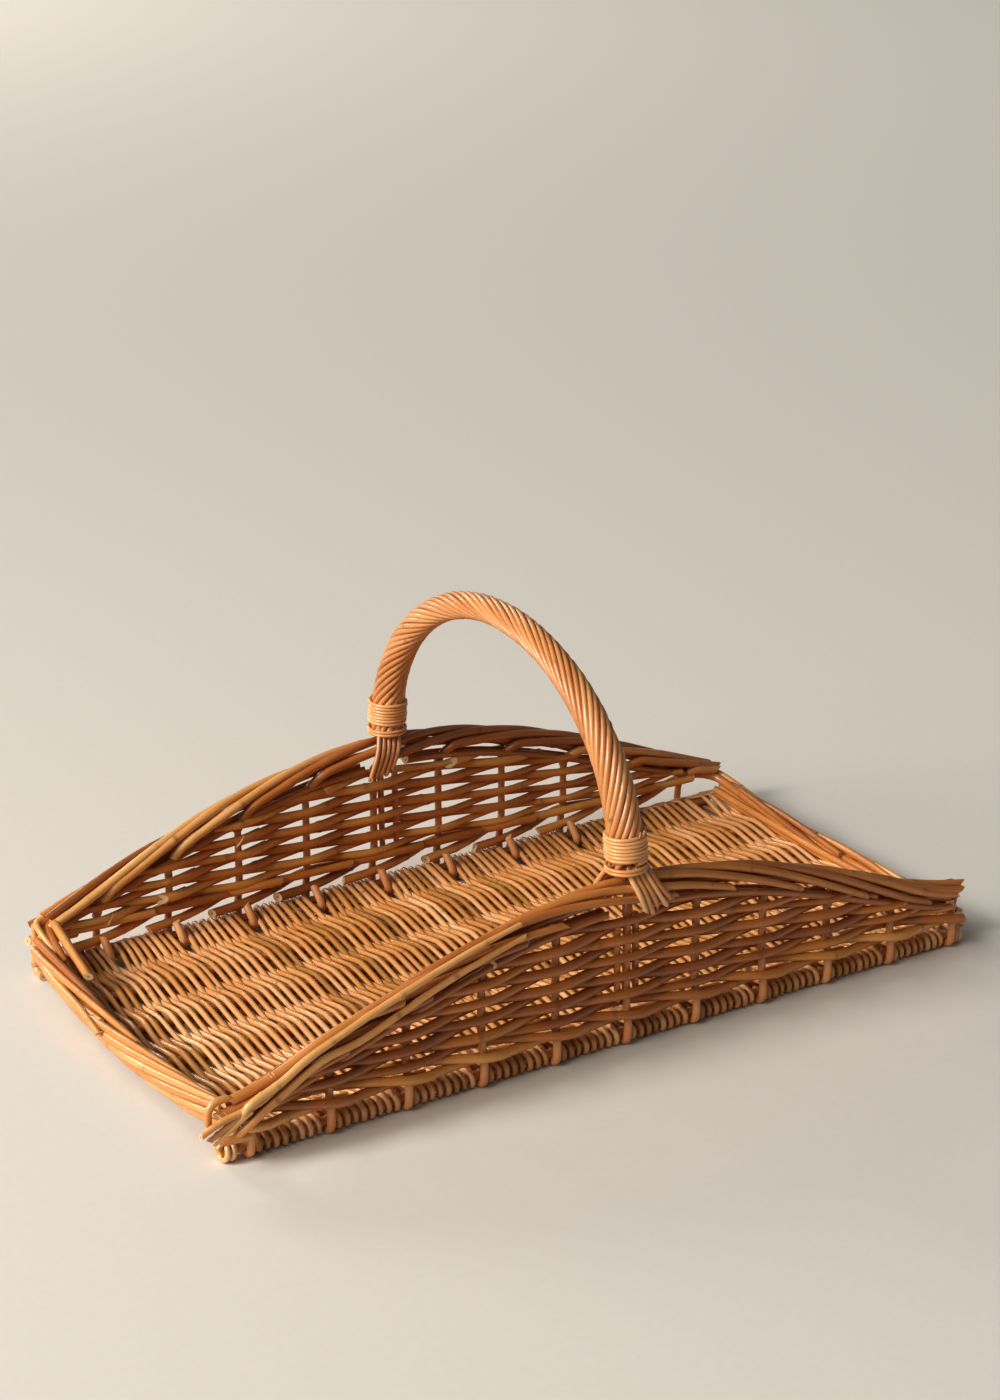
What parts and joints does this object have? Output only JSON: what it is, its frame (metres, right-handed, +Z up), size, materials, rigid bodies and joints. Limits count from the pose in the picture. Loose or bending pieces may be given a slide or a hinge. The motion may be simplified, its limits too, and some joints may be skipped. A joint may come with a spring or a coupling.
{
  "type": "open ended willow carrying basket",
  "caption": "Shallow willow basket with a flat woven base, two arched long sides, low plaited ends and a roped arch handle across the middle.",
  "frame": {"origin": "middle of the underside of the woven base, on the surface the basket stands on", "axes": "+X along the length, +Y across the width towards the back long side, +Z up"},
  "size_m": [0.5972, 0.3304, 0.2607],
  "materials": {
    "stick_willow": "satin",
    "base_weaver_willow": "satin",
    "stake_willow": "satin",
    "side_weaver_willow": "satin",
    "border_willow": "satin",
    "handle_willow": "satin",
    "binding_cane": "satin"
  },
  "bodies": {
    "root": {"base_edge_stick_front": "stick_willow", "base_edge_stick_back": "stick_willow", "base_inner_sticks": "stick_willow", "base_weavers_1": "base_weaver_willow", "base_weavers_2": "base_weaver_willow", "base_weavers_3": "base_weaver_willow", "base_weavers_4": "base_weaver_willow", "base_weavers_5": "base_weaver_willow", "base_weavers_6": "base_weaver_willow", "stakes_front": "stake_willow", "stakes_back": "stake_willow", "foot_rods_front": "side_weaver_willow", "foot_rods_back": "side_weaver_willow", "front_weaver_1": "side_weaver_willow", "front_weaver_2": "side_weaver_willow", "front_weaver_3": "side_weaver_willow", "front_weaver_4": "side_weaver_willow", "front_weaver_5": "side_weaver_willow", "front_weaver_6": "side_weaver_willow", "front_weaver_7": "side_weaver_willow", "front_weaver_8": "side_weaver_willow", "front_weaver_9": "side_weaver_willow", "front_weaver_10": "side_weaver_willow", "back_weaver_1": "side_weaver_willow", "back_weaver_2": "side_weaver_willow", "back_weaver_3": "side_weaver_willow", "back_weaver_4": "side_weaver_willow", "back_weaver_5": "side_weaver_willow", "back_weaver_6": "side_weaver_willow", "back_weaver_7": "side_weaver_willow", "back_weaver_8": "side_weaver_willow", "back_weaver_9": "side_weaver_willow", "back_weaver_10": "side_weaver_willow", "front_border_rod_1": "border_willow", "front_border_rod_2": "border_willow", "front_border_rod_3": "border_willow", "front_border_rod_4": "border_willow", "front_border_filler": "border_willow", "back_border_rod_1": "border_willow", "back_border_rod_2": "border_willow", "back_border_rod_3": "border_willow", "back_border_rod_4": "border_willow", "back_border_filler": "border_willow", "end_border_left": "border_willow", "end_border_right": "border_willow", "corner_rods_front_left": "border_willow", "corner_rods_back_left": "border_willow", "corner_rods_back_right": "border_willow", "handle_bow": "stick_willow", "handle_roping": "handle_willow", "handle_binding_front": "binding_cane", "handle_binding_back": "binding_cane", "handle_tails_front": "handle_willow", "handle_tails_back": "handle_willow", "handle_legs_front": "stake_willow", "handle_legs_back": "stake_willow"}
  },
  "joints": []
}
